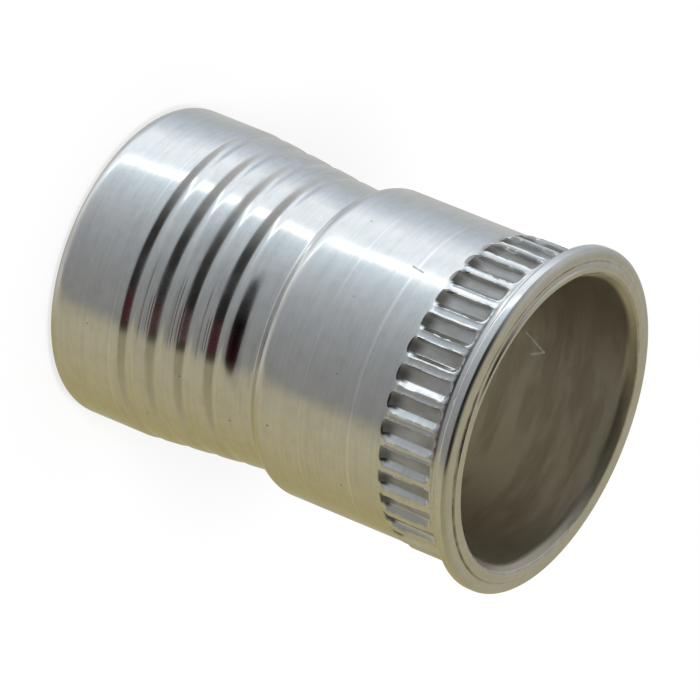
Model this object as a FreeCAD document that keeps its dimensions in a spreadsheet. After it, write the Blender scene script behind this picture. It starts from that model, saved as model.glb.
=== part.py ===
import FreeCAD, Part
import os
import Sketcher

# Rivet nut: a thin-walled, knurled insert with an internal thread, formed in one piece.
# It stands on its thread end. +Z runs up the axis to the head, and the origin is the
# centre of the thread end's face. Sizes are in millimetres.

doc = FreeCAD.newDocument("rivet_nut")

# Driving dimensions

SIZES = [
    # the whole nut and its tube
    ("nut_length", 15.1),
    ("body_diameter", 9.9),
    ("wall_thickness", 0.4),
    ("end_rounding", 0.62),
    # the part that is swaged in around the thread, and the shoulder above it
    ("land_length", 2.75),
    ("swage_length", 4.65),
    ("swage_depth", 0.455),
    ("waist_rounding", 0.2),
    ("shoulder_rise", 0.4),
    ("shoulder_rounding", 0.3),
    # shallow rings that the thread's turns leave on the outside
    ("thread_pitch", 1.0),
    ("first_ring_gap", 0.32),
    ("last_ring_gap", 0.65),
    ("ring_waist_gap", 0.42),
    ("ring_depth", 0.05),
    ("last_ring_depth", 0.03),
    ("ring_width", 0.52),
    # low head that flares out of a short neck
    ("head_overhang", 0.55),
    ("head_thickness", 0.5),
    ("head_flare", 0.3),
    ("rim_chamfer", 0.12),
    ("rim_rounding", 0.2),
    ("neck_depth", 0.03),
    ("neck_length", 0.05),
    # raised band below the neck, and the pockets pressed into it
    ("band_rise", 0.05),
    ("band_length", 1.92),
    ("band_ramp", 0.12),
    ("pocket_count", 36),
    ("pocket_depth", 0.14),
    ("pocket_neck_gap", 0.08),
    ("pocket_taper", 42.0),
    ("ridge_width", 0.225),
    # low stepped lip round the mouth, and the seat that leads down from the wide bore
    ("lip_height", 0.07),
    ("lip_width", 0.56),
    ("lip_step_width", 0.17),
    ("lip_slope_width", 0.03),
    ("mouth_flare_width", 0.2),
    ("mouth_flare_depth", 0.27),
    ("bore_floor_rise", 0.4),
    ("seat_angle", 60.0),
    # hole through the thread's crests, and its lead-in at the thread end
    ("thread_hole_diameter", 5.0),
    ("thread_lead_in", 0.6),
]

dims = doc.addObject("Spreadsheet::Sheet", "dims")
for row, (name, size) in enumerate(SIZES, start=1):
    dims.set("A%d" % row, name)
    dims.set("B%d" % row, str(size))
    dims.setAlias("B%d" % row, name)
doc.recompute()


def value(text):
    """Number that an expression of the sheet's sizes gives."""
    return float(dims.evalExpression(text.replace("dims.", "")))


def origin_part(body, role):
    """Plane or axis of the body's own origin."""
    for feature in body.Origin.OriginFeatures:
        if feature.Role == role:
            return feature


def sketch_on(body, name, role, offset=None):
    """Empty sketch on one of the body's own planes; offset moves it along its normal."""
    sketch = body.newObject("Sketcher::SketchObject", name)
    sketch.AttachmentSupport = (origin_part(body, role), [""])
    sketch.MapMode = "FlatFace"
    if offset:
        sketch.setExpression("AttachmentOffset.Base.z", offset)
    return sketch


def tie(sketch, kind, geometry, spot, text):
    """Distance of a point from the sketch's origin, bound to an expression of the sheet."""
    if abs(value(text)) < 1e-9:
        axis = -2 if kind == "DistanceX" else -1
        sketch.addConstraint(Sketcher.Constraint("PointOnObject", geometry, spot, axis))
        return
    index = sketch.addConstraint(Sketcher.Constraint(kind, -1, 1, geometry, spot, value(text)))
    sketch.setExpression("Constraints[%d]" % index, text)


def outline(sketch, corners):
    """Closed outline through corners, each given by two expressions of the sheet."""
    points = [FreeCAD.Vector(value(across), value(up), 0) for across, up in corners]
    for start, end in zip(points, points[1:] + points[:1]):
        sketch.addGeometry(Part.LineSegment(start, end), False)
    for index in range(len(points)):
        following = (index + 1) % len(points)
        sketch.addConstraint(Sketcher.Constraint("Coincident", index, 2, following, 1))
    for index, (across, up) in enumerate(corners):
        tie(sketch, "DistanceX", index, 1, across)
        tie(sketch, "DistanceY", index, 1, up)


def turned(body, kind, name, sketch):
    """Full turn of a section about the body's axis: Revolution adds, Groove removes."""
    feature = body.newObject("PartDesign::" + kind, name)
    feature.Profile = sketch
    feature.ReferenceAxis = (sketch, ["V_Axis"])
    feature.Angle = 360.0
    doc.recompute()
    return feature


def circles_at(shape, radius, height):
    """Names of the circular edges about the axis with this radius, at this height."""
    names = []
    for index, edge in enumerate(shape.Edges, start=1):
        if isinstance(edge.Curve, Part.Circle):
            centre = edge.Curve.Center
            near_axis = abs(centre.x) < 1e-6 and abs(centre.y) < 1e-6
            if near_axis and abs(centre.z - height) < 1e-4 and abs(edge.Curve.Radius - radius) < 1e-4:
                names.append("Edge%d" % index)
    return names


def rounded(body, name, radius, height, size):
    """Fillet on the edge ring that lies at this radius and height."""
    base = body.Tip
    feature = body.newObject("PartDesign::Fillet", name)
    feature.Base = (base, circles_at(base.Shape, value(radius), value(height)))
    feature.setExpression("Radius", size)
    doc.recompute()
    return feature


body = doc.addObject("PartDesign::Body", "rivet_nut")
body.Label = "rivet_nut"

# Outer section of the blank, from the thread end up to the lip round the bore's mouth

BODY = "dims.body_diameter / 2"
WAIST = BODY + " - dims.swage_depth"
BAND = BODY + " + dims.band_rise"
NECK = BODY + " - dims.neck_depth"
HEAD = BODY + " + dims.head_overhang"
BORE = BODY + " - dims.wall_thickness"
WAIST_HEIGHT = "dims.land_length + dims.swage_length"
SHOULDER_TOP = WAIST_HEIGHT + " + dims.shoulder_rise"
HEAD_BACK = "dims.nut_length - dims.head_thickness"
FLARE_FOOT = HEAD_BACK + " - dims.head_flare"
BAND_TOP = FLARE_FOOT + " - dims.neck_length"
BAND_FOOT = BAND_TOP + " - dims.band_length"
LIP_TOP = "dims.nut_length + dims.lip_height"
LIP_FOOT = BORE + " + dims.lip_width"
LIP_STEP = LIP_FOOT + " - dims.lip_step_width"

blank_section = sketch_on(body, "blank_section", "XZ_Plane")
outline(blank_section, [
    ("0", "0"),
    (BODY, "0"),
    (BODY, "dims.land_length"),
    (WAIST, WAIST_HEIGHT),
    (BODY, SHOULDER_TOP),
    (BODY, BAND_FOOT),
    (BAND, BAND_FOOT + " + dims.band_ramp"),
    (BAND, BAND_TOP + " - dims.band_ramp"),
    (NECK, BAND_TOP),
    (NECK, FLARE_FOOT),
    (NECK + " + dims.head_flare", HEAD_BACK),
    (HEAD + " - dims.rim_chamfer", HEAD_BACK),
    (HEAD, HEAD_BACK + " + dims.rim_chamfer"),
    (HEAD, "dims.nut_length"),
    (LIP_FOOT, "dims.nut_length"),
    (LIP_FOOT + " - dims.lip_slope_width", "dims.nut_length + dims.lip_height / 2"),
    (LIP_STEP, "dims.nut_length + dims.lip_height / 2"),
    (LIP_STEP + " - dims.lip_slope_width", LIP_TOP),
    ("0", LIP_TOP),
])
blank = turned(body, "Revolution", "blank", blank_section)

rounded(body, "end_round", BODY, "0", "dims.end_rounding")
rounded(body, "waist_round", WAIST, WAIST_HEIGHT, "dims.waist_rounding")
rounded(body, "shoulder_round", BODY, SHOULDER_TOP, "dims.shoulder_rounding")
rounded(body, "rim_round", HEAD, "dims.nut_length", "dims.rim_rounding")

# Stepped bore: lead-in, threaded hole, conical seat and wide bore up to the mouth

THREAD = "dims.thread_hole_diameter / 2"
BORE_FLOOR = SHOULDER_TOP + " + dims.bore_floor_rise"
SEAT_DROP = "(%s - %s) / tan(dims.seat_angle * 1deg)" % (BORE, THREAD)

bore_section = sketch_on(body, "bore_section", "XZ_Plane")
outline(bore_section, [
    ("0", "0"),
    (THREAD + " + dims.thread_lead_in", "0"),
    (THREAD, "dims.thread_lead_in"),
    (THREAD, BORE_FLOOR + " - " + SEAT_DROP),
    (BORE, BORE_FLOOR),
    (BORE, LIP_TOP + " - dims.mouth_flare_depth"),
    (BORE + " + dims.mouth_flare_width", LIP_TOP),
    ("0", LIP_TOP),
])
bore = turned(body, "Groove", "bore", bore_section)

# Rings round the swaged part: each is a shallow round-bottomed groove, one for each full
# turn of thread that the swage has room for, and a fainter one where the thread runs out

CONE_SLOPE = "dims.swage_depth / dims.swage_length"
RING_ROOM = "dims.swage_length - dims.first_ring_gap - dims.last_ring_gap - dims.ring_waist_gap"


def ring_groove(name, rise, depth):
    """Groove round the cone at this rise above the land, cut by a circle of fitting size."""
    cone = "(%s - %s * %s)" % (BODY, rise, CONE_SLOPE)
    nose = "(dims.ring_width ^ 2 / 8 / %s + %s / 2)" % (depth, depth)
    centre = "%s - %s + %s" % (cone, depth, nose)
    height = "dims.land_length + " + rise
    sketch = sketch_on(body, name + "_section", "XZ_Plane")
    middle = FreeCAD.Vector(value(centre), value(height), 0)
    circle = sketch.addGeometry(Part.Circle(middle, FreeCAD.Vector(0, 0, 1), value(nose)), False)
    tie(sketch, "DistanceX", circle, 3, centre)
    tie(sketch, "DistanceY", circle, 3, height)
    index = sketch.addConstraint(Sketcher.Constraint("Radius", circle, value(nose)))
    sketch.setExpression("Constraints[%d]" % index, nose)
    return turned(body, "Groove", name, sketch)


last_turn = int(value("(%s) / dims.thread_pitch" % RING_ROOM))
for turn in range(last_turn + 1):
    ring_groove("ring_%d" % (turn + 1), "(dims.first_ring_gap + %d * dims.thread_pitch)" % turn,
                "dims.ring_depth")
ring_groove("run_out_ring",
            "(dims.first_ring_gap + %d * dims.thread_pitch + dims.last_ring_gap)" % last_turn,
            "dims.last_ring_depth")

# Knurl: flat-floored pockets with sloping walls, pressed in all round the raised band.
# The first faces the front, and its sketch touches the band from outside. The ridges
# between the pockets keep their width when the body or the number of pockets changes.

POCKET_SIDE = "(%s) * tan(180deg / dims.pocket_count) - dims.ridge_width / 2" % BAND
POCKET_TOP = BAND_TOP + " - dims.pocket_neck_gap"

pocket_section = sketch_on(body, "pocket_section", "XZ_Plane", BAND)
outline(pocket_section, [
    ("-(%s)" % POCKET_SIDE, BAND_FOOT),
    (POCKET_SIDE, BAND_FOOT),
    (POCKET_SIDE, POCKET_TOP),
    ("-(%s)" % POCKET_SIDE, POCKET_TOP),
])
before_pocket = body.Tip.Shape.Volume
pocket = body.newObject("PartDesign::Pocket", "pocket")
pocket.Profile = pocket_section
pocket.Type = 0
pocket.setExpression("Length", "dims.pocket_depth")
pocket.setExpression("TaperAngle", "-dims.pocket_taper")
doc.recompute()
print("one pocket takes away %.4f cubic mm" % (before_pocket - pocket.Shape.Volume))

knurl = body.newObject("PartDesign::PolarPattern", "knurl")
knurl.Originals = [pocket]
knurl.Axis = (origin_part(body, "Z_Axis"), [""])
knurl.Angle = 360.0
knurl.setExpression("Occurrences", "dims.pocket_count")
body.Tip = knurl
doc.recompute()
print("the knurl takes away %.4f cubic mm" % (before_pocket - knurl.Shape.Volume))

# Check every feature, then write the piece

failed = [item.Name for item in doc.Objects if {"Invalid", "Error"} & set(item.State)]
if failed:
    raise RuntimeError("these features failed: " + ", ".join(failed))

os.makedirs("parts", exist_ok=True)
for piece in [body]:
    shape = piece.Shape
    if shape.isNull() or not shape.isValid():
        raise RuntimeError(piece.Label + " has no valid shape")
    box = shape.optimalBoundingBox(True, False)
    print("%s: %d solid, volume %.2f cubic mm" % (piece.Label, len(shape.Solids), shape.Volume))
    print("size %.3f x %.3f x %.3f mm" % (box.XLength, box.YLength, box.ZLength))
    shape.exportStep(os.path.join("parts", piece.Label + ".step"))
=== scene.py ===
# %% [markdown]
# # A rivet nut, dressed
# The frame is a thin-walled threaded insert of plated steel, 15 mm long, that stands on its
# thread end. Its solid could be kept and only painted, but facets and bare edges would show
# in a metal this bright, so one finer skin stands for it here. It gets its metal and a small
# photo stage.

import math
import random

import bmesh
import bpy
from mathutils import Matrix, Vector


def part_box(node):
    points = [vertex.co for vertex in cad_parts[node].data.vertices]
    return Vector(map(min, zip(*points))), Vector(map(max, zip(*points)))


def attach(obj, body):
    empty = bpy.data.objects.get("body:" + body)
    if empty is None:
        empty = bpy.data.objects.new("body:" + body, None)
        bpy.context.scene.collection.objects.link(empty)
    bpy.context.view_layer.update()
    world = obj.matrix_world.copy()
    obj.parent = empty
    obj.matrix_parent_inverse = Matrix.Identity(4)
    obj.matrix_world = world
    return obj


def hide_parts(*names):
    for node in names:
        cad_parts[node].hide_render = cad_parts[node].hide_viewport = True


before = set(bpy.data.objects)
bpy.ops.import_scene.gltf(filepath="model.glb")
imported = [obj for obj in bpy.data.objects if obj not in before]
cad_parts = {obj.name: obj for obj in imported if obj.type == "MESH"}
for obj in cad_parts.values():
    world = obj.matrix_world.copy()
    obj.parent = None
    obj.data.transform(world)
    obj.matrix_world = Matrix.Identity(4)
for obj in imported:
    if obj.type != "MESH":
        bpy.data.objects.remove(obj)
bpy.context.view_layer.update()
foot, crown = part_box("rivet_nut")
print("frame box", [round(v * 1000, 3) for v in (*foot, *crown)], "mm")

# %% [markdown]
# The real nut is one drawn and pressed piece: a tube that is necked in around its thread, a
# knurled band, and a low flared head. All its sizes could be typed in. Here the outer ones
# are read from the frame and the others hang on them, so that the skin lies on the solid.
# They are millimetres, and heights run up the axis from the thread end.

# %% Sizes
MM = 0.001
TURN = 2 * math.pi
HEAD_RADIUS = crown.x / MM
LIP_TOP = crown.z / MM
HEAD_TOP = LIP_TOP - 0.07
HEAD_BACK = HEAD_TOP - 0.5
BODY_RADIUS = HEAD_RADIUS - 0.55
BORE_RADIUS = BODY_RADIUS - 0.4
WAIST_RADIUS = BODY_RADIUS - 0.455
NECK_RADIUS = BODY_RADIUS + 0.025
THREAD_RADIUS = 2.5
LEAD_IN = 0.6
LAND_TOP = 2.75
WAIST = 7.4
SHOULDER = 7.8
BORE_FLOOR = 8.2
SEAT_FOOT = BORE_FLOOR - (BORE_RADIUS - THREAD_RADIUS) / math.tan(math.radians(60))
print("body radius %.2f mm, head radius %.2f mm" % (BODY_RADIUS, HEAD_RADIUS))

# %% [markdown]
# A round piece could be stacked from cylinders, but its slopes and roundings come easier
# from half of its section, spun round the axis. The section is a chain of corners, from the
# thread end round the outside to the mouth, and back down the bore. The lip round the mouth
# has a small step with a shallow dip outside it. The band has a plain middle between two
# ramps, and a row just under the pockets keeps their shading off the tube.

# %% Section
STEP_TOP = HEAD_TOP + 0.035
STEP_RADIUS = BORE_RADIUS + 0.56
LIP_RADIUS = STEP_RADIUS - 0.17
STEP_SLOPE = 0.03
DIP_START = STEP_RADIUS + 0.14
DIP_FOOT = STEP_RADIUS + 0.02
DIP_DEPTH = 0.01
MOUTH_RADIUS = BORE_RADIUS + 0.2
MOUTH_FOOT = LIP_TOP - 0.27
BAND_RADIUS = BODY_RADIUS + 0.05
BAND_FOOT = 12.33
BAND_LOW = 12.75
BAND_HIGH = 13.85
BAND_TOP = 14.32
BAND_RAMP = 0.2
POCKET_FOOT = 12.24
POCKET_TOP = 14.18
SHADING_ROW = POCKET_FOOT - 0.06
CORNERS = [
    (THREAD_RADIUS + LEAD_IN, 0),
    (BODY_RADIUS, 0),
    (BODY_RADIUS, LAND_TOP),
    (WAIST_RADIUS, WAIST),
    (BODY_RADIUS, SHOULDER),
    (BODY_RADIUS, SHADING_ROW),
    (BODY_RADIUS, POCKET_FOOT),
    (BODY_RADIUS, BAND_FOOT),
    (BAND_RADIUS, BAND_FOOT + BAND_RAMP),
    (BAND_RADIUS, BAND_LOW),
    (BAND_RADIUS, BAND_HIGH),
    (BAND_RADIUS, BAND_TOP - BAND_RAMP),
    (NECK_RADIUS, BAND_TOP),
    (NECK_RADIUS, HEAD_BACK),
    (HEAD_RADIUS, HEAD_BACK),
    (HEAD_RADIUS, HEAD_TOP),
    (DIP_START, HEAD_TOP),
    (DIP_FOOT, HEAD_TOP - DIP_DEPTH),
    (STEP_RADIUS, HEAD_TOP),
    (STEP_RADIUS - STEP_SLOPE, STEP_TOP),
    (LIP_RADIUS, STEP_TOP),
    (LIP_RADIUS - STEP_SLOPE, LIP_TOP),
    (MOUTH_RADIUS, LIP_TOP),
    (BORE_RADIUS, MOUTH_FOOT),
    (BORE_RADIUS, BORE_FLOOR),
    (THREAD_RADIUS, SEAT_FOOT),
    (THREAD_RADIUS, LEAD_IN),
]
nut_mesh = bmesh.new()
points = [nut_mesh.verts.new((0, -radius * MM, height * MM)) for radius, height in CORNERS]
for point, following in zip(points, points[1:] + points[:1]):
    nut_mesh.edges.new((point, following))
print("section of", len(points), "corners")

# %% [markdown]
# Where the tube was pressed in, the thread's turns show through as shallow rings. A bump
# could fake them, but they show in the outline, so they are modelled. Each ring falls away
# gently on the thread side and rises more steeply on the head side. The cone's line is cut
# into short pieces, and each new point is pushed in by the rings near it.

# %% Rings on the swaged part
NEAR = 1e-3
CONE_CUTS = 80
RINGS = [(3.07, 0.05), (4.06, 0.052), (5.05, 0.05), (6.08, 0.052)]
RING_FALL = 0.4
RING_RISE = 0.22


def radius_of(place):
    """Distance from the axis in millimetres."""
    return math.hypot(place.x, place.y) / MM


def chain_edge(bm, start, end):
    """Edge of the section between two of its corners, given as (radius, height)."""
    for edge in bm.edges:
        ends = [(radius_of(vert.co), vert.co.z / MM) for vert in edge.verts]
        for first, second in (ends, ends[::-1]):
            if math.dist(first, start) < NEAR and math.dist(second, end) < NEAR:
                return edge


def dent(height, centre, depth, fall=RING_FALL, rise=RING_RISE):
    """How far a ring pushes the surface in at this height."""
    reach = fall if height < centre else rise
    share = abs(height - centre) / reach
    return depth * (0.5 + 0.5 * math.cos(math.pi * share)) if share < 1 else 0.0


cone = chain_edge(nut_mesh, (BODY_RADIUS, LAND_TOP), (WAIST_RADIUS, WAIST))
cut = bmesh.ops.subdivide_edges(nut_mesh, edges=[cone], cuts=CONE_CUTS)
for vert in [item for item in cut["geom_inner"] if isinstance(item, bmesh.types.BMVert)]:
    height = vert.co.z / MM
    vert.co.y += sum(dent(height, centre, depth) for centre, depth in RINGS) * MM
print("cone in", len(cut["geom_inner"]), "pieces")

# %% [markdown]
# One spin makes the whole skin. A Screw modifier would do the same, but its corners could
# not be picked afterwards. The thread's line gets eleven points a turn first, and the band
# gets rows for its pockets. Eight steps of the spin make one pocket with its ridge, so the
# knurl's edges fall on the steps. The chain starts one step beside the middle of a pocket.

# %% Spin
POCKETS = 36
STEPS = 8 * POCKETS
THREAD_CUTS = 11
BAND_CUTS = (2, 2, 6, 10, 6, 3)
hole = chain_edge(nut_mesh, (THREAD_RADIUS, SEAT_FOOT), (THREAD_RADIUS, LEAD_IN))
bmesh.ops.subdivide_edges(nut_mesh, edges=[hole], cuts=round(THREAD_CUTS * (SEAT_FOOT - LEAD_IN)))
first = CORNERS.index((BODY_RADIUS, POCKET_FOOT))
for start, end, cuts in zip(CORNERS[first:], CORNERS[first + 1:], BAND_CUTS):
    bmesh.ops.subdivide_edges(nut_mesh, edges=[chain_edge(nut_mesh, start, end)], cuts=cuts)
bmesh.ops.rotate(nut_mesh, verts=nut_mesh.verts, cent=(0, 0, 0),
                 matrix=Matrix.Rotation(TURN / STEPS, 3, "Z"))
bmesh.ops.spin(nut_mesh, geom=nut_mesh.verts[:] + nut_mesh.edges[:], cent=(0, 0, 0),
               axis=(0, 0, 1), dvec=(0, 0, 0), angle=TURN, steps=STEPS, use_merge=True)
bmesh.ops.recalc_face_normals(nut_mesh, faces=nut_mesh.faces[:])
print("spun skin:", len(nut_mesh.faces), "faces")

# %% [markdown]
# A thread could be swept as a helix and joined on, which leaves a seam. Here each point of
# the plain hole moves outwards by its place on the screw, so the skin stays closed. The
# thread runs in at the end's chamfer and runs out below the seat.

# %% Thread
THREAD_DEPTH = 0.5
THREAD_PITCH = 1.0
CREST = 0.125
FLANKS = 0.75
RUN_IN = 0.3
RUN_OUT = 0.6


def clamp(value):
    """The value, kept between 0 and 1."""
    return min(1.0, max(0.0, value))


def screw_depth(share):
    """Depth of a 60 degree thread at this share of a turn: flat crest, flanks, narrow root."""
    away = abs((share % 1.0) - 0.5) * 2
    return THREAD_DEPTH * clamp((1 - away - CREST) / FLANKS)


hole_points = [vert for vert in nut_mesh.verts if abs(radius_of(vert.co) - THREAD_RADIUS) < NEAR
               and LEAD_IN - NEAR < vert.co.z / MM < SEAT_FOOT + NEAR]
for vert in hole_points:
    height = vert.co.z / MM
    share = height / THREAD_PITCH - math.atan2(vert.co.y, vert.co.x) / TURN
    fade = min(1.0, (height - LEAD_IN) / RUN_IN, (SEAT_FOOT - height) / RUN_OUT)
    push = screw_depth(share) * fade / THREAD_RADIUS
    vert.co.x += vert.co.x * push
    vert.co.y += vert.co.y * push
print("thread of", len(hole_points), "points")

# %% [markdown]
# The last ring runs out: it shows over 48 degrees of the turn and fades at both ends. The
# spun section can't hold it for that reason, so its points are pushed in now.

# %% Last ring
VIEW_HEADING = -3.258
LAST_RING = (6.78, 0.075, 0.45, 0.4)
LAST_MIDDLE = 12
LAST_REACH = 24


def heading_of(place):
    """Degrees round the axis from the side that the camera sees, positive towards +X."""
    degrees = math.degrees(math.atan2(place.x, -place.y)) - VIEW_HEADING
    return (degrees + 180) % 360 - 180


for vert in nut_mesh.verts:
    across = radius_of(vert.co)
    aside = heading_of(vert.co) - LAST_MIDDLE
    if across > WAIST_RADIUS - 0.1 and abs(aside) < LAST_REACH:
        depth = dent(vert.co.z / MM, *LAST_RING) * math.cos(math.radians(90 * aside / LAST_REACH))
        vert.co.x -= vert.co.x / across * depth
        vert.co.y -= vert.co.y / across * depth
print("last ring at", LAST_RING[0], "mm")

# %% [markdown]
# The knurl is 36 flat-floored pockets that a tool pressed into the band. Cutters and a
# Boolean could make them, but not their long slopes and soft rims. So each point of the band
# gets its distance from the axis: a floor that starts with a ramp, a steep wall on one side,
# a broad one on the other, and a small bead that the tool threw up along each. No two
# pockets are quite alike, so a seeded choice varies them: the places of both rims, the foot,
# and the phase and size of a ragged edge. Widths are degrees from the ridge's middle.

# %% Form of a pocket
POCKET_ANGLE = 360 / POCKETS
HALF_ANGLE = POCKET_ANGLE / 2
STEEP_RIM = 1.55
STEEP_SPAN = 0.55
STEEP_LENGTH = 1.8
BROAD_RIM = 0.8
BROAD_CURVE = 0.35
FLOOR_EDGE = 3.25
FLOOR_DEPTH = (0.165, 0.13)
RAMP_START = POCKET_FOOT + 0.03
RAMP_ROUND = 0.1
RAMP_END = 12.62
END_ROUND = 0.12
END_EASE = 0.16
BEAD_HEIGHT = 0.022
BEAD_WIDTH = 0.45
BEAD_FOOT = (BAND_FOOT, 12.6)
BEAD_TOP = (13.95, 14.2)
chance = random.Random(7)
VARIETY = [(chance.uniform(-0.3, 0.5), chance.uniform(0.1, 0.7), chance.uniform(-0.05, 0.05),
            chance.uniform(0, TURN), chance.uniform(0.05, 0.16)) for _ in range(POCKETS)]


def ease(value, low, high):
    """0 below low, 1 above high, and smooth between."""
    share = clamp((value - low) / (high - low))
    return share * share * (3 - 2 * share)


def band_radius(height):
    """Radius of the band without its pockets."""
    rise = ease(height, BAND_FOOT, BAND_FOOT + BAND_RAMP)
    fall = ease(height, BAND_TOP - BAND_RAMP, BAND_TOP)
    return BODY_RADIUS + (BAND_RADIUS - BODY_RADIUS) * rise - (BAND_RADIUS - NECK_RADIUS) * fall


def rim_of(height, off_centre, index):
    """Where the wall starts, in degrees from the ridge's middle."""
    shift, wave, _, phase, ragged = VARIETY[index]
    swing = wave * math.sin(math.pi * clamp((height - BAND_FOOT) / STEEP_LENGTH))
    rim = BROAD_RIM + shift if off_centre > 0 else STEEP_RIM + swing
    return rim + ragged * (math.sin(phase + 5.2 * height) + 0.6 * math.sin(2 * phase + 11 * height))


def pocket_radius(height, off_centre, index):
    """Radius at a height and an angle in degrees from the middle of pocket number index."""
    skin = band_radius(height)
    rim = rim_of(height, off_centre, index)
    from_ridge = HALF_ANGLE - abs(off_centre)
    wall = ease(from_ridge, rim, rim + STEEP_SPAN)
    if off_centre > 0:
        straight = clamp((from_ridge - rim) / (FLOOR_EDGE - rim))
        wall = BROAD_CURVE * ease(from_ridge, rim, FLOOR_EDGE) + (1 - BROAD_CURVE) * straight
    aside = clamp((HALF_ANGLE - from_ridge) / (HALF_ANGLE - rim))
    high_end = POCKET_TOP - END_ROUND * (1 - math.sqrt(1 - (0.97 * aside) ** 2))
    low_end = RAMP_START + VARIETY[index][2] + RAMP_ROUND * aside ** 2
    along = max(0.0, (height - RAMP_END) / (POCKET_TOP - RAMP_END))
    deep = FLOOR_DEPTH[0] + (FLOOR_DEPTH[1] - FLOOR_DEPTH[0]) * along
    floor = (BAND_RADIUS - deep) / math.cos(math.radians(off_centre))
    share = clamp((height - low_end) / (RAMP_END - low_end))
    ramp = BODY_RADIUS + (floor - BODY_RADIUS) * math.sin(math.pi / 2 * share)
    sunk = max(0.0, skin - ramp) * wall * (1 - ease(height, high_end - END_EASE, high_end))
    bead = BEAD_HEIGHT * math.exp(-((from_ridge - rim) / BEAD_WIDTH) ** 2)
    return skin - sunk + bead * ease(height, *BEAD_FOOT) * (1 - ease(height, *BEAD_TOP))


print("pocket floor at radius %.3f mm" % pocket_radius(BAND_LOW, 0.0, 0))

# %% [markdown]
# The band's rows are cut three times finer, and their points slide together at the walls,
# where the form turns most. An even grid would need many more faces for the same edges. The
# floors are marked for a finish of their own.

# %% Knurl
STEEP_COLUMNS = [0, 0.6, 1.1, 1.5, 1.75, 1.95, 2.12, 2.29, 2.46, 2.64, 2.9, 3.7, 5.0]
BROAD_COLUMNS = [0, 0.35, 0.65, 0.95, 1.3, 1.7, 2.1, 2.5, 2.85, 3.1, 3.35, 4.0, 5.0]
COLUMN_STEP = HALF_ANGLE / 12
FLOOR_SIDES = (-3.0, 1.8)
PRESSED = 1


def in_band(place):
    """Whether a place is on the outside, between the pockets' foot and the band's top."""
    outside = radius_of(place) > BORE_RADIUS + 0.1
    return outside and POCKET_FOOT + NEAR < place.z / MM < BAND_TOP - NEAR


rows = [edge for edge in nut_mesh.edges if all(in_band(vert.co) for vert in edge.verts)
        and abs(edge.verts[0].co.z - edge.verts[1].co.z) < NEAR * MM]
bmesh.ops.subdivide_edges(nut_mesh, edges=rows, cuts=2, use_grid_fill=True)
for vert in [vert for vert in nut_mesh.verts if in_band(vert.co)]:
    angle = math.degrees(math.atan2(vert.co.x, -vert.co.y))
    index = round(angle / POCKET_ANGLE)
    off_centre = angle - POCKET_ANGLE * index
    columns = BROAD_COLUMNS if off_centre > 0 else STEEP_COLUMNS
    column = columns[round((HALF_ANGLE - abs(off_centre)) / COLUMN_STEP)]
    off_centre = math.copysign(HALF_ANGLE - column, off_centre)
    radius = pocket_radius(vert.co.z / MM, off_centre, index % POCKETS) * MM
    angle = math.radians(POCKET_ANGLE * index + off_centre)
    vert.co.x, vert.co.y = radius * math.sin(angle), -radius * math.cos(angle)
bmesh.ops.remove_doubles(nut_mesh, verts=nut_mesh.verts[:], dist=1e-7)
for face in nut_mesh.faces:
    middle = face.calc_center_median()
    angle = math.degrees(math.atan2(middle.x, -middle.y))
    off_centre = (angle + HALF_ANGLE) % POCKET_ANGLE - HALF_ANGLE
    on_floor = FLOOR_SIDES[0] < off_centre < FLOOR_SIDES[1]
    if in_band(middle) and on_floor and BAND_FOOT < middle.z / MM < POCKET_TOP:
        face.material_index = PRESSED
print("knurl:", len(rows), "row edges in the band")

# %% [markdown]
# Sharp corners don't exist on a pressed part. A Bevel modifier would round all of them
# alike, so each ring of edges gets the rounding that the real corner has. A bevel's offset
# is measured along the faces: a right angle takes its own radius, a flatter corner less.

# %% Rounded corners
ROUNDINGS = [
    (BODY_RADIUS, 0, 0.6, 10),
    (BODY_RADIUS, LAND_TOP, 0.06, 2),
    (WAIST_RADIUS, WAIST, 0.12, 5),
    (BODY_RADIUS, SHOULDER, 0.28, 7),
    (NECK_RADIUS, HEAD_BACK, 0.28, 7),
    (HEAD_RADIUS, HEAD_BACK, 0.15, 5),
    (HEAD_RADIUS, HEAD_TOP, 0.2, 7),
    (MOUTH_RADIUS, LIP_TOP, 0.05, 4),
    (BORE_RADIUS, MOUTH_FOOT, 0.1, 3),
    (BORE_RADIUS, BORE_FLOOR, 0.1, 3),
    (THREAD_RADIUS + LEAD_IN, 0, 0.05, 2),
]


def ring_edges(bm, radius, height):
    """Edges of the circle that lies at this radius and height, in millimetres."""
    def on_circle(vert):
        level = abs(vert.co.z / MM - height) < 2 * NEAR
        return level and abs(radius_of(vert.co) - radius) < 2 * NEAR
    return [edge for edge in bm.edges if all(on_circle(vert) for vert in edge.verts)]


for radius, height, offset, segments in ROUNDINGS:
    edges = ring_edges(nut_mesh, radius, height)
    bmesh.ops.bevel(nut_mesh, geom=edges, offset=offset * MM, offset_type="OFFSET",
                    segments=segments, profile=0.5, affect="EDGES", material=-1,
                    clamp_overlap=True)
    print("rounded %d edges at radius %.2f, height %.2f" % (len(edges), radius, height))

# %% [markdown]
# The flaring tool left two edges uneven: the foot of the mouth waves a little, and the small
# step on the lip is higher on one side. Noise would make them rough all over, so a few slow
# waves and one slope round the turn shift their points.

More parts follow.
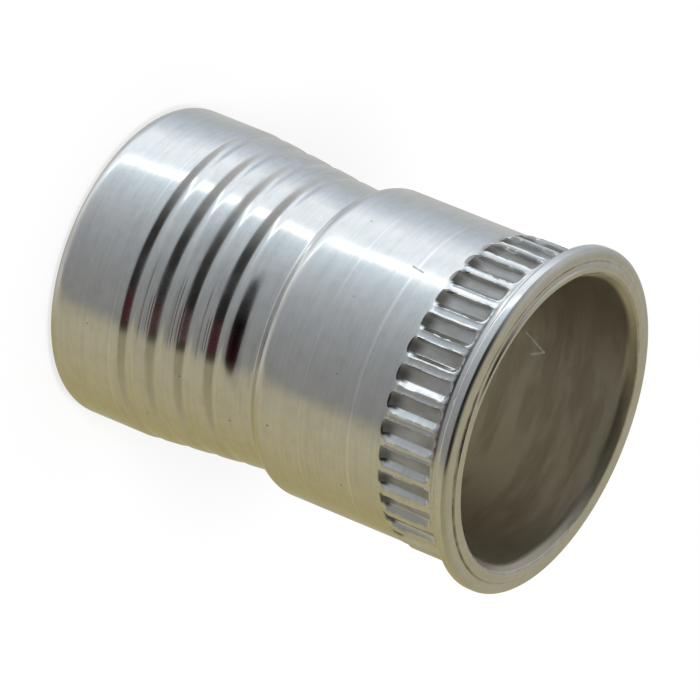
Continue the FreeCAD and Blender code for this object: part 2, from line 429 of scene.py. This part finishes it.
# %% Torn edges
MOUTH_WAVES = [(0.05, 3, 1), (0.03, 8, 0)]
STEP_TEAR = 0.032
for vert in nut_mesh.verts:
    across, height, side = radius_of(vert.co), vert.co.z / MM, heading_of(vert.co)
    if across < MOUTH_RADIUS - 0.05 and HEAD_TOP - 0.5 < height < LIP_TOP - 0.1:
        turn = math.radians(side)
        wave = sum(size * math.sin(count * turn + phase) for size, count, phase in MOUTH_WAVES)
        vert.co.z += wave * MM
    if LIP_RADIUS - NEAR < across < STEP_RADIUS and abs(height - STEP_TOP) < NEAR:
        torn = (2 * ease(side, -20, 20) - 1) * (1 - ease(abs(side), 60, 120))
        vert.co.z += STEP_TEAR * torn * MM
print("torn edges at radius %.2f and %.2f" % (BORE_RADIUS, STEP_RADIUS))

# %% [markdown]
# The bore keeps its own finish, because it was drawn and not turned. Its finish could end at
# a clean circle, but on the far side it also covers the mouth's worn edge. All faces are
# shaded smooth, and only an edge sharper than 40 degrees stays crisp.

# %% Finished skin
DRAWN = 2
BORE_EDGE = MOUTH_RADIUS - 0.06
for face in nut_mesh.faces:
    middle = face.calc_center_median()
    faces_in = face.normal.x * middle.x + face.normal.y * middle.y < 0
    if faces_in and radius_of(middle) < BORE_EDGE + 0.07 * ease(abs(heading_of(middle)), 130, 155):
        face.material_index = DRAWN
    face.smooth = True
bmesh.ops.remove_doubles(nut_mesh, verts=nut_mesh.verts[:], dist=1e-7)
bmesh.ops.recalc_face_normals(nut_mesh, faces=nut_mesh.faces[:])
open_edges = sum(not edge.is_manifold for edge in nut_mesh.edges)
shell = bpy.data.meshes.new("rivet_nut_skin")
nut_mesh.to_mesh(shell)
nut_mesh.free()
shell.set_sharp_from_angle(angle=math.radians(40))


def placed(name, data):
    """Object of this data, in the scene."""
    made = bpy.data.objects.new(name, data)
    bpy.context.collection.objects.link(made)
    return made


nut = placed("rivet_nut_skin", shell)
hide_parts("rivet_nut")
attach(nut, "root")
triangles = sum(len(polygon.vertices) - 2 for polygon in shell.polygons)
print(triangles, "triangles,", open_edges, "open edges")

# %% [markdown]
# Materials are node graphs. They could be wired link by link, which takes a page for each.
# Two small classes keep them readable: Graph adds a node with its settings and inputs, and
# Value wraps a socket, so that sums and products of values are written as plain Python.

# %% Shader helpers


class Graph:
    """Nodes of one material or world."""

    def __init__(self, owner):
        owner.use_nodes = True
        self.tree = owner.node_tree
        self.tree.nodes.clear()

    def node(self, kind, settings=None, inputs=None):
        """New node: settings first, then values or links for its sockets."""
        made = self.tree.nodes.new("ShaderNode" + kind)
        for name, setting in (settings or {}).items():
            if name == "stops":
                ramp = made.color_ramp
                while len(ramp.elements) < len(setting):
                    ramp.elements.new(0.5)
                for element, (position, colour) in zip(ramp.elements, setting):
                    element.position = position
                    element.color = (*colour, 1)
            else:
                setattr(made, name, setting)
        for name, given in (inputs or {}).items():
            if isinstance(given, Value):
                self.tree.links.new(given.socket, made.inputs[name])
            else:
                made.inputs[name].default_value = given
        return made

    def value(self, kind, settings=None, inputs=None, output=0):
        """The same, as a Value of one of its outputs."""
        return Value(self, self.node(kind, settings, inputs).outputs[output])

    def band(self, value, low, high):
        """0 below low, 1 above high, and smooth between."""
        return self.value("MapRange", {"interpolation_type": "SMOOTHSTEP"},
                          {"Value": value, "From Min": low, "From Max": high})

    def window(self, value, rise, fall):
        """0, then up to 1 between the two ends of rise, and back to 0 between those of fall."""
        return self.band(value, *rise) * (1 - self.band(value, *fall))

    def line(self, value, middle, half):
        """1 on a line at middle that fades out over half on each side."""
        return 1 - self.band((value - middle).size(), 0.0, half)

    def mix(self, share, first, second):
        """Colour between first and second."""
        return self.value("Mix", {"data_type": "RGBA"}, {0: share, 6: first, 7: second}, 2)

    def blend(self, share, first, second):
        """Shader between first and second."""
        return self.value("MixShader", inputs={0: share, 1: first, 2: second})


class Value:
    """A number, colour or shader that varies; expressions on it add Math nodes."""

    def __init__(self, graph, socket):
        self.graph = graph
        self.socket = socket

    def math(self, operation, *operands):
        """Math node of this kind on the operands, or on the value itself."""
        inputs = dict(enumerate(operands or (self,)))
        return self.graph.value("Math", {"operation": operation}, inputs)

    def __add__(self, other): return self.math("ADD", self, other)
    def __radd__(self, other): return self.math("ADD", other, self)
    def __sub__(self, other): return self.math("SUBTRACT", self, other)
    def __rsub__(self, other): return self.math("SUBTRACT", other, self)
    def __mul__(self, other): return self.math("MULTIPLY", self, other)
    def __rmul__(self, other): return self.math("MULTIPLY", other, self)
    def __truediv__(self, other): return self.math("DIVIDE", self, other)
    def size(self): return self.math("ABSOLUTE")


# %% [markdown]
# All marks on a turned piece run round it, so patterns are laid out by height and heading.
# An unwrapped map could carry them too, but it has a seam, and these need none. Places come
# from Object coordinates, because the piece sits at the origin.

# %% Pattern helpers
ARC = TURN / 360 * BODY_RADIUS


def split(graph, output):
    """x, y and z of one of the texture coordinates."""
    spot = graph.value("TexCoord", output=output)
    return [Value(graph, part) for part in graph.node("SeparateXYZ", inputs={0: spot}).outputs]


def compass(x, y):
    """Degrees round the axis from -Y, positive towards +X."""
    return x.math("ARCTAN2", x, 0 - y) * (180 / math.pi)


def places(graph):
    """Height and distance from the axis in millimetres, and heading in degrees from -Y."""
    x, y, z = (part * 1000.0 for part in split(graph, "Object"))
    return z, x.math("SQRT", x * x + y * y), compass(x, y)


def streaks(graph, across, along, detail=3.0):
    """Noise drawn out round the axis: across and along are its scales per millimetre."""
    spot = graph.value("TexCoord", output="Object")
    scale = (across / MM, across / MM, along / MM)
    drawn_out = graph.value("Mapping", inputs={0: spot, "Scale": scale})
    return graph.value("TexNoise", {"noise_dimensions": "3D"},
                       {"Vector": drawn_out, "Scale": 1.0, "Detail": detail, "Roughness": 0.6})


def rings(graph, height, lines):
    """Lines round the piece, each given as its height, half its width and its strength."""
    return sum(strength * graph.line(height, middle, half) for middle, half, strength in lines)


def scratch(graph, arc, height, start, end, half):
    """1 on a straight mark; its ends are given as (degrees round, millimetres up)."""
    (left, low), (right, high) = ((degrees * ARC, up) for degrees, up in (start, end))
    reach = math.dist((left, low), (right, high))
    run, rise = (right - left) / reach, (high - low) / reach
    along = (arc - left) * run + (height - low) * rise
    aside = (arc - left) * rise - (height - low) * run
    return graph.line(aside, 0.0, half) * graph.window(along, (-half, 0.0), (reach, reach + half))


def pocket_share(graph, heading):
    """0 at the steep side of each knurl pocket, 1 from its middle on."""
    off_centre = (heading / POCKET_ANGLE + 0.5).math("FRACT") * POCKET_ANGLE - HALF_ANGLE
    return graph.band(off_centre, -3.6, 0.0)


def finish_material(graph, colour, roughness, relief, bump, distance, metallic=1.0,
                    anisotropic=0.0):
    """Principled metal; relief feeds a Bump node, and distance is its height in millimetres."""
    bumped = graph.value("Bump", inputs={"Strength": bump, "Distance": distance * MM,
                                         "Height": relief})
    metal = graph.value("BsdfPrincipled", inputs={
        "Base Color": colour, "Metallic": metallic, "Roughness": roughness, "Normal": bumped,
        "Anisotropic": anisotropic, "Anisotropic Rotation": 0.25})
    graph.node("OutputMaterial", inputs={"Surface": metal})
    print("finish of", len(graph.tree.nodes), "nodes")


print("a degree round the body is %.4f mm" % ARC)

# %% [markdown]
# The outside is bright plating over turned steel: a near mirror with faint rings from the
# lathe tool, a few scribed lines, and short cuts between the rings of the swaged part. Real
# grooves as fine as these would take millions of faces, so noise and lines stand for them.

# %% Bright plating: its patterns
SCRIBED = [(11.21, 0.07, 1.0), (9.42, 0.06, 0.5), (2.45, 0.05, 0.5)]
LONG_CUTS = [(3.42, 0.06, 1.0), (4.44, 0.05, 0.7), (4.53, 0.05, 1.0), (5.44, 0.07, 1.0)]
SHORT_CUTS = [(up, 0.045, 0.8) for up in (3.62, 3.7, 4.66, 4.75, 5.6, 5.68, 7.06)]
plating = bpy.data.materials.new("bright_plating")
g = Graph(plating)
z, r, heading = places(g)
turned = heading - VIEW_HEADING
arc = turned * ARC
fine = streaks(g, 0.35, 8.0)
broad = streaks(g, 0.15, 2.5, 2.0)
clouds = streaks(g, 0.7, 0.7, 2.0)
mottle = streaks(g, 2.2, 3.2)
scribed = rings(g, z, SCRIBED) * g.window(turned, (-75, -40), (50, 80))
scribed = scribed * g.band(streaks(g, 0.8, 3.0), 0.3, 0.5)
long_cuts = rings(g, z, LONG_CUTS) * g.window(turned, (-4, 6), (26, 34))
short_cuts = rings(g, z, SHORT_CUTS) * g.window(turned, (8, 14), (23, 28))
cuts = long_cuts + short_cuts
print(len(SCRIBED), "scribed lines,", len(LONG_CUTS) + len(SHORT_CUTS), "cuts")

# %% [markdown]
# Plating is nearly one colour, so its colour could be left flat. The real one is a little
# cloudy, paler in the scribed lines and dark in a nick and a few specks. Painted shade darkens
# the foot of each pocket and the two edges of the lip, and a painted dark reflection the last ring.

# %% Bright plating: its colours
PLATE_LIGHT = (0.69, 0.69, 0.665, 1)
PLATE_DARK = (0.57, 0.57, 0.54, 1)
BARE = (0.88, 0.88, 0.86, 1)
POCKET_SHADE = (0.09, 0.09, 0.08, 1)
RING_SHADE = (0.07, 0.07, 0.065, 1)
LIP_EDGE_SHADE = (0.16, 0.14, 0.11, 1)
SPECK = (0.10, 0.09, 0.08, 1)
SPECKS = [(38, 4.9, 0.05), (51, 6.6, 0.06), (41, 8.3, 0.06), (-46, 8.8, 0.05), (12, 10.4, 0.04),
          (62, 3.6, 0.04), (30, 1.6, 0.04), (-15, 9.9, 0.035), (55, 10.9, 0.05)]
NICK = ((-33.9, 11.02), (-33.1, 11.42), 0.05)
cloudy = 0.35 * g.band(fine, 0.35, 0.7) + 0.35 * g.band(mottle, 0.4, 0.7)
colour = g.mix(cloudy, PLATE_LIGHT, PLATE_DARK)
colour = g.mix(0.7 * scribed, colour, BARE)
# Painted shade at the foot of each pocket, where its ramp drops into the band; weaker on its steep
# side.
notch = g.window(z, (12.22, 12.45), (12.5, 12.75)) * (1 - g.band(r, 4.88, 4.955))
notch = notch * (0.3 + 0.7 * pocket_share(g, heading))
colour = g.mix(notch * (0.55 + 0.6 * mottle), colour, POCKET_SHADE)
# Painted dark reflection in the wall of the last ring, over part of its turn.
ring_shade = g.line(z, LAST_RING[0] - 0.22, 0.38) * g.window(turned, (5, 11), (23, 28))
colour = g.mix(0.85 * ring_shade, colour, RING_SHADE)
# Painted shade as thin dark lines along the mouth's edge and the step on the lip, weaker on the
# sides away from the camera.
edge_shade = g.line(r, MOUTH_RADIUS + 0.01, 0.06) * g.band(z, LIP_TOP - 0.12, LIP_TOP - 0.05)
edge_shade = edge_shade + g.line(r, STEP_RADIUS, 0.04) * g.band(z, HEAD_TOP - 0.1, HEAD_TOP - 0.03)
edge_shade = edge_shade * (0.3 + 0.6 * g.band(mottle, 0.3, 0.7)) * (1 - 0.6 * g.band(turned.size(), 70, 100))
colour = g.mix(edge_shade, colour, LIP_EDGE_SHADE)
dirt = scratch(g, arc, z, *NICK)
for degrees, up, half in SPECKS:
    dirt = dirt + scratch(g, arc, z, (degrees, up), (degrees, up + 0.01), half)
colour = g.mix(0.75 * dirt, colour, SPECK)
print(len(SPECKS), "specks and a nick")

# %% [markdown]
# The lathe's lines could be colour only, but a mirror shows them by how they bend light. So
# they go into the bump and the roughness. The pressed band is a little dented as well.

# %% Bright plating: its finish
roughness = 0.12 + 0.05 * fine + 0.1 * g.band(clouds, 0.4, 0.65) + 0.1 * scribed + 0.2 * notch
pressed = g.window(z, (POCKET_FOOT, BAND_FOOT), (POCKET_TOP, BAND_TOP))
relief = 0.3 * fine + 0.5 * broad + 0.25 * mottle - 0.9 * cuts
relief = relief + 1.6 * pressed * streaks(g, 3.5, 2.5)
finish_material(g, colour, roughness, relief, bump=0.35, distance=0.01, anisotropic=0.3)
shell.materials.append(plating)

# %% [markdown]
# The pockets were pressed by a tool and not turned afterwards, so they are dull and grainy,
# and their ramps are darkened with painted shade. They could share the plating with more
# roughness, but a finish of their own keeps their flat grey apart from what the mirror shows.

# %% Pressed pockets
FLOOR_LIGHT = (0.46, 0.465, 0.455, 1)
FLOOR_DARK = (0.36, 0.35, 0.325, 1)
pressing = bpy.data.materials.new("pressed_plating")
g = Graph(pressing)
z, _, heading = places(g)
grain = streaks(g, 5.0, 5.0)
stain = streaks(g, 1.5, 0.8, 2.0)
# Painted shade on the ramp at each pocket's foot, weaker on its steep side.
dark = 1 - g.band(z, RAMP_END - 0.15, RAMP_END + 0.3)
dark = dark * (0.25 + 0.75 * pocket_share(g, heading))
colour = g.mix(g.band(stain, 0.35, 0.65), FLOOR_LIGHT, FLOOR_DARK)
colour = g.mix(dark * (0.6 + 0.5 * stain), colour, POCKET_SHADE)
finish_material(g, colour, 0.5 + 0.16 * grain, grain + stain, bump=0.3, distance=0.012,
                metallic=0.8)
shell.materials.append(pressing)

# %% [markdown]
# The bore was drawn over a punch, which left fine lines round it and dull stains. Painted
# shade makes its side walls darker and olive. A tool has scratched a V into its wall, and
# painted shade darkens the mouth's foot on that side. The V could be cut into the mesh, but
# it has no depth to see. It shows because it mirrors less.

# %% Drawn bore
BORE_LIGHT = (0.91, 0.895, 0.85, 1)
BORE_DARK = (0.69, 0.665, 0.61, 1)
BORE_LINES = (0.95, 0.93, 0.88, 1)
BORE_SIDE_SHADE = (0.50, 0.465, 0.39, 1)
MOUTH_SHADE = (0.22, 0.20, 0.16, 1)
SCRATCHES = [((-150.0, 11.3), (-155.1, 12.0)), ((-155.1, 12.0), (-157.7, 11.57))]
drawn = bpy.data.materials.new("drawn_bore")
g = Graph(drawn)
z, _, heading = places(g)
turned = heading - VIEW_HEADING
far = 180 - turned.size()
lines = streaks(g, 0.5, 7.0)
stain = streaks(g, 0.4, 1.7)
colour = g.mix(g.band(stain, 0.38, 0.62), BORE_LIGHT, BORE_DARK)
colour = g.mix(0.3 * g.band(lines, 0.4, 0.65), colour, BORE_LINES)
# Painted shade: the bore's side walls are darker and olive, its far wall lighter.
colour = g.mix(0.75 * g.window(far, (22, 62), (88, 108)), colour, BORE_SIDE_SHADE)
# Painted shade in a band at the mouth's foot, on the far side.
edge_shade = g.band(z, LIP_TOP - 0.42, LIP_TOP - 0.2) * (1 - g.band(far, 25, 75)) * (0.5 + stain)
colour = g.mix(0.8 * edge_shade, colour, MOUTH_SHADE)
bare = sum(scratch(g, turned * ARC, z, start, end, 0.05) for start, end in SCRATCHES)
finish_material(g, colour, 0.33 + 0.2 * lines, lines, bump=0.4, distance=0.01,
                metallic=1 - 0.22 * bare)
shell.materials.append(drawn)

# %% [markdown]
# Polished metal shows little of its own: what it looks like is the room around it. A real
# set of lamps and cards could be built, but each would also light the floor. Here the world
# holds the room, for mirror rays only: a beige table, a white soft light, a small lamp and a
# dark near side. Directions are degrees round the axis from the camera's side, positive
# towards +X. ROOM is the light from level, ABOVE from over it, BELOW from the floor's side.

# %% Colours of the room
ROOM = [
    (-180, (0.52, 0.51, 0.42)),
    (-165, (0.60, 0.61, 0.59)),
    (-140, (0.57, 0.60, 0.62)),
    (-130, (0.58, 0.63, 0.70)),
    (-120, (0.66, 0.72, 0.82)),
    (-110, (0.77, 0.85, 0.97)),
    (-100, (1.06, 1.14, 1.25)),
    (-94, (1.23, 1.30, 1.40)),
    (-72, (1.12, 1.22, 1.36)),
    (-68, (1.30, 1.38, 1.50)),
    (-66, (2.20, 2.25, 2.30)),
    (-62, (2.20, 2.25, 2.30)),
    (-60, (1.05, 1.18, 1.32)),
    (-54, (0.84, 0.96, 1.08)),
    (-40, (0.67, 0.74, 0.81)),
    (-20, (0.50, 0.53, 0.58)),
    (0, (0.39, 0.41, 0.44)),
    (20, (0.33, 0.34, 0.35)),
    (46, (0.30, 0.30, 0.30)),
    (56, (0.49, 0.46, 0.34)),
    (70, (0.53, 0.49, 0.35)),
    (100, (0.51, 0.45, 0.28)),
    (140, (0.45, 0.39, 0.19)),
    (160, (0.44, 0.40, 0.22)),
    (180, (0.52, 0.51, 0.42)),
]
ABOVE = [
    (-180, (0.45, 0.43, 0.35)),
    (-150, (0.50, 0.50, 0.50)),
    (-100, (0.62, 0.62, 0.62)),
    (-80, (0.50, 0.50, 0.51)),
    (-60, (0.40, 0.40, 0.41)),
    (-50, (0.27, 0.27, 0.28)),
    (-40, (0.14, 0.14, 0.14)),
    (-30, (0.055, 0.055, 0.055)),
    (-20, (0.035, 0.035, 0.035)),
    (20, (0.018, 0.018, 0.018)),
    (44, (0.018, 0.018, 0.018)),
    (50, (0.05, 0.045, 0.03)),
    (55, (0.34, 0.31, 0.2)),
    (120, (0.42, 0.38, 0.24)),
    (180, (0.47, 0.43, 0.31)),
]
BELOW = [
    (-180, (0.60, 0.60, 0.62)),
    (-90, (1.05, 1.05, 1.08)),
    (-60, (0.95, 0.95, 0.98)),
    (-30, (0.62, 0.62, 0.64)),
    (180, (0.60, 0.60, 0.60)),
]
RED = (0.075, 0.02, 0.026, 1)
TABLE = (0.47, 0.44, 0.32, 1)
WHITE = (1, 1, 1, 1)
print("room of", len(ROOM) + len(ABOVE) + len(BELOW), "colours")

# %% [markdown]
# A picture of a room could light the scene, but no image is used here. Each ring of colours
# is a Color Ramp over the heading, and the rings blend into each other by the degrees above
# level. A trace of red lies just above level. The camera sees plain white instead.

# %% The room that the metal mirrors
world = bpy.data.worlds.new("room")
bpy.context.scene.world = world
world.cycles.sampling_method = "NONE"
g = Graph(world)
x, y, z = split(g, "Generated")
lift = z.math("ARCSINE", z) * (180 / math.pi)
turned = (compass(x, y) + (180 - VIEW_HEADING)) / 360
degrees_round = turned * 360 - 180


def ring_of_colours(colours):
    """Colour of the room at this heading, from its stops in degrees."""
    stops = [((degrees + 180) / 360, colour) for degrees, colour in colours]
    return g.value("ValToRGB", {"stops": stops}, {0: turned})


red = g.window(degrees_round, (18, 27), (43, 49)) * (1 - g.band(lift, -2, 12))
above = g.mix(red, ring_of_colours(ABOVE), RED)
room = g.mix(g.band(lift, -15, -7), ring_of_colours(ROOM), above)
room = g.mix(g.band(lift, 25, 84), room, TABLE)
room = g.mix(1 - g.band(lift, -75, -55), room, ring_of_colours(BELOW))
rays = g.node("LightPath").outputs
mirrored = g.value("Background", inputs={0: room, 1: 1.0})
plain = g.value("Background", inputs={0: WHITE, 1: 0.75})
seen = g.value("Background", inputs={0: WHITE, 1: 1.0})
lit = g.blend(Value(g, rays["Is Glossy Ray"]), plain, mirrored)
g.node("OutputWorld", inputs={"Surface": g.blend(Value(g, rays["Is Camera Ray"]), lit, seen)})
print("world of", len(g.tree.nodes), "nodes")

# %% [markdown]
# The floor is a wide pale disc. More light would make it white and burn out the nut, so a
# share of plain white for the camera lifts it instead, and it keeps the nut's shadow. Mirror
# rays pass it, so that the metal shows the room and not a white ground.

# %% Floor
FLOOR_RADIUS = 1.5
PAPER = (0.85, 0.85, 0.85, 1)
PAPER_GLOW = 0.72
floor_mesh = bmesh.new()
bmesh.ops.create_circle(floor_mesh, cap_ends=True, segments=96, radius=FLOOR_RADIUS)
ground = bpy.data.meshes.new("floor")
floor_mesh.to_mesh(ground)
floor_mesh.free()
floor = placed("floor", ground)
floor.visible_glossy = False
paper = bpy.data.materials.new("paper")
g = Graph(paper)
matt = g.value("BsdfDiffuse", inputs={0: PAPER})
glow = g.value("Emission", inputs={0: WHITE, 1: 1.0})
camera_ray = g.value("LightPath", output="Is Camera Ray")
g.node("OutputMaterial", inputs={"Surface": g.blend(PAPER_GLOW * camera_ray, matt, glow)})
ground.materials.append(paper)
print("floor of", 2 * FLOOR_RADIUS, "m across")

# %% [markdown]
# A soft disc lamp over the camera's side gives the shadow and lights what is dull. A sun
# would draw a hard shadow, which the photo doesn't have. Mirror rays don't see the lamp.

# %% Key light
LAMP_TILT = math.radians(58)
LAMP_HEADING = math.radians(VIEW_HEADING)
LAMP_AWAY = 0.35
LAMP_SIZE = 0.12
LAMP_POWER = 0.8
lamp_data = bpy.data.lights.new("key", "AREA")
lamp_data.shape = "DISK"
lamp_data.size = LAMP_SIZE
lamp_data.energy = LAMP_POWER
lamp = placed("key", lamp_data)
lamp_side = Vector((math.sin(LAMP_HEADING) * math.cos(LAMP_TILT),
                    -math.cos(LAMP_HEADING) * math.cos(LAMP_TILT), math.sin(LAMP_TILT)))
lamp.location = lamp_side * LAMP_AWAY
lamp.rotation_mode = "QUATERNION"
lamp.rotation_quaternion = lamp_side.to_track_quat("Z", "Y")
lamp.visible_glossy = False
print("lamp at", [round(v, 3) for v in lamp.location])

# %% [markdown]
# The camera looks down on the head from a little above level, through a long lens. The nut
# lay nearly flat in the photo. It could be laid down here too, but the part stands upright
# in its frame, so the camera is rolled instead.

# %% Camera
VIEW_TILT = 27.686
VIEW_ROLL = 112.202
VIEW_AWAY = 261.37
VIEW_AIM = (0.235, -0.013, 7.966)
SENSOR = 36.0
PHOTO_SIDE = 700
FOCAL_PIXELS = 8662.66
camera_data = bpy.data.cameras.new("camera")
camera_data.sensor_width = SENSOR
camera_data.lens = SENSOR * FOCAL_PIXELS / PHOTO_SIDE
camera_data.clip_start = 0.01
camera = placed("camera", camera_data)
aimed = Matrix.Translation(Vector(VIEW_AIM) * MM)
faced = Matrix.Rotation(math.radians(VIEW_HEADING), 4, "Z")
raised = Matrix.Rotation(math.radians(90 - VIEW_TILT), 4, "X")
rolled = Matrix.Rotation(math.radians(VIEW_ROLL), 4, "Z")
backed = Matrix.Translation((0, 0, VIEW_AWAY * MM))
camera.matrix_world = aimed @ faced @ raised @ rolled @ backed
bpy.context.scene.camera = camera
bpy.context.scene.view_settings.view_transform = "Standard"
print("lens of %.1f mm" % camera_data.lens)
